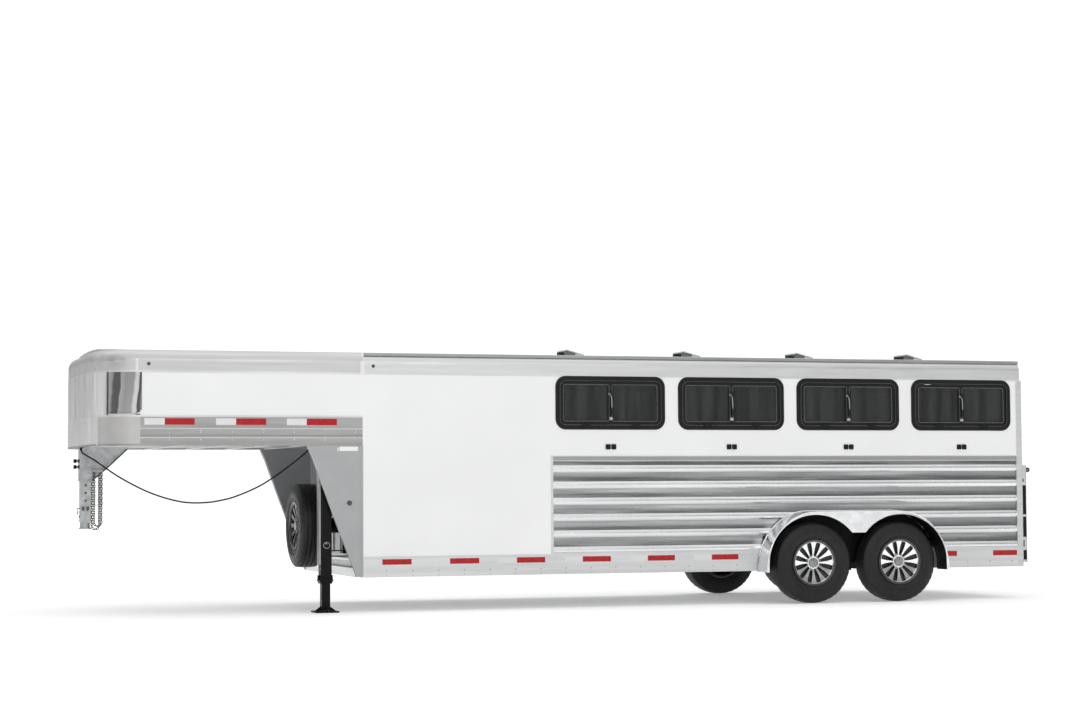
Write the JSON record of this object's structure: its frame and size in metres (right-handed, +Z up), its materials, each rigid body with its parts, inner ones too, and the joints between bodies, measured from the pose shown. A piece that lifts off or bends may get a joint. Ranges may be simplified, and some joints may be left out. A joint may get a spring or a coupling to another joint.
{
  "type": "gooseneck livestock trailer",
  "caption": "Gooseneck livestock trailer on two axles, with planked sides, drop-down windows, a tack room, a rear ramp under two doors, a spare wheel and a drop-leg jack.",
  "frame": {"origin": "on the ground, at the middle of the trailer's whole length and width", "axes": "+X forward to the hitch, +Y to the driver's side, +Z up"},
  "size_m": [9.272, 2.59, 2.457],
  "materials": {
    "white_panel": "gloss",
    "rail_aluminium": "satin",
    "planks": "polished",
    "mirror_steel": "polished",
    "frame_aluminium": "mill",
    "fender_aluminium": "polished",
    "grey_steel": "satin",
    "zinc_steel": "zinc plated",
    "black_paint": "gloss",
    "black_frame": "satin",
    "black_plastic": "matt",
    "vent_plastic": "matt",
    "dark_glass": "tinted",
    "tyre_rubber": "matt",
    "wheel_alloy": "machined",
    "black_rubber": "matt",
    "amber_lens": "clear",
    "red_lens": "clear"
  },
  "bodies": {
    "trailer": {"floor_frame": "frame_aluminium", "cross_members": "frame_aluminium", "floor_planks": "frame_aluminium", "wheel_wells": "black_plastic", "axles": "black_paint", "fenders": "fender_aluminium", "rear_frame": "rail_aluminium", "plank_walls": "planks", "upper_panels": "white_panel", "tack_panels": "white_panel", "body_roof_rails": "rail_aluminium", "nose_roof_rail": "rail_aluminium", "roof_skin": "frame_aluminium", "roof_vents": "vent_plastic", "front_bulkhead": "white_panel", "tack_room_wall": "frame_aluminium", "wing_plates": "grey_steel", "nose_rail": "rail_aluminium", "nose_panels": "white_panel", "nose_corners": "mirror_steel", "nose_floor": "frame_aluminium", "coupler_tube": "zinc_steel", "coupler_post": "zinc_steel", "safety_chains": "zinc_steel", "trailer_cable": "black_rubber", "cable_glands": "black_rubber", "jack_tube": "black_paint", "jack_leg": "black_paint", "spare_bracket": "black_paint", "spare_tyre": "tyre_rubber", "spare_rim": "wheel_alloy", "marker_lamps": "amber_lens", "tail_lamps": "red_lens", "window_frames": "black_frame", "fixed_window_glass": "dark_glass", "window_bumpers": "black_rubber"},
    "wheel_front_left": {"tyre_front_left": "tyre_rubber", "rim_front_left": "wheel_alloy"},
    "wheel_front_right": {"tyre_front_right": "tyre_rubber", "rim_front_right": "wheel_alloy"},
    "wheel_rear_left": {"tyre_rear_left": "tyre_rubber", "rim_rear_left": "wheel_alloy"},
    "wheel_rear_right": {"tyre_rear_right": "tyre_rubber", "rim_rear_right": "wheel_alloy"},
    "window_1": {"window_sash_1": "black_frame", "window_glass_1": "dark_glass"},
    "window_2": {"window_sash_2": "black_frame", "window_glass_2": "dark_glass"},
    "window_3": {"window_sash_3": "black_frame", "window_glass_3": "dark_glass"},
    "window_4": {"window_sash_4": "black_frame", "window_glass_4": "dark_glass"},
    "ramp": {"rear_ramp": "frame_aluminium"},
    "rear_door_left": {"rear_door_left": "white_panel"},
    "rear_door_right": {"rear_door_right": "white_panel"},
    "side_door": {"side_door": "white_panel", "side_door_glass": "dark_glass"}
  },
  "joints": [
    {"name": "wheel_front_left_spin", "type": "hinge", "parent": "trailer", "child": "wheel_front_left", "pos_m": [-2.181, 1.145, 0.385], "axis": [0, 1, 0], "continuous": true},
    {"name": "wheel_front_right_spin", "type": "hinge", "parent": "trailer", "child": "wheel_front_right", "pos_m": [-2.181, -1.145, 0.385], "axis": [0, 1, 0], "continuous": true},
    {"name": "wheel_rear_left_spin", "type": "hinge", "parent": "trailer", "child": "wheel_rear_left", "pos_m": [-3.081, 1.145, 0.385], "axis": [0, 1, 0], "continuous": true},
    {"name": "wheel_rear_right_spin", "type": "hinge", "parent": "trailer", "child": "wheel_rear_right", "pos_m": [-3.081, -1.145, 0.385], "axis": [0, 1, 0], "continuous": true},
    {"name": "window_1_drop", "type": "hinge", "parent": "trailer", "child": "window_1", "pos_m": [-3.861, 1.088, 1.695], "axis": [-1, 0, 0], "range_deg": [0, 175]},
    {"name": "window_2_drop", "type": "hinge", "parent": "trailer", "child": "window_2", "pos_m": [-2.639, 1.088, 1.695], "axis": [-1, 0, 0], "range_deg": [0, 175]},
    {"name": "window_3_drop", "type": "hinge", "parent": "trailer", "child": "window_3", "pos_m": [-1.417, 1.088, 1.695], "axis": [-1, 0, 0], "range_deg": [0, 175]},
    {"name": "window_4_drop", "type": "hinge", "parent": "trailer", "child": "window_4", "pos_m": [-0.195, 1.088, 1.695], "axis": [-1, 0, 0], "range_deg": [0, 175]},
    {"name": "ramp_drop", "type": "hinge", "parent": "trailer", "child": "ramp", "pos_m": [-4.526, 0, 0.345], "axis": [0, -1, 0], "range_deg": [0, 103]},
    {"name": "rear_door_left_swing", "type": "hinge", "parent": "trailer", "child": "rear_door_left", "pos_m": [-4.525, 0.99, 1.755], "axis": [0, 0, -1], "range_deg": [0, 175]},
    {"name": "rear_door_right_swing", "type": "hinge", "parent": "trailer", "child": "rear_door_right", "pos_m": [-4.525, -0.99, 1.755], "axis": [0, 0, 1], "range_deg": [0, 175]},
    {"name": "side_door_swing", "type": "hinge", "parent": "trailer", "child": "side_door", "pos_m": [1.689, -1.084, 1.31], "axis": [0, 0, 1], "range_deg": [0, 170]}
  ]
}
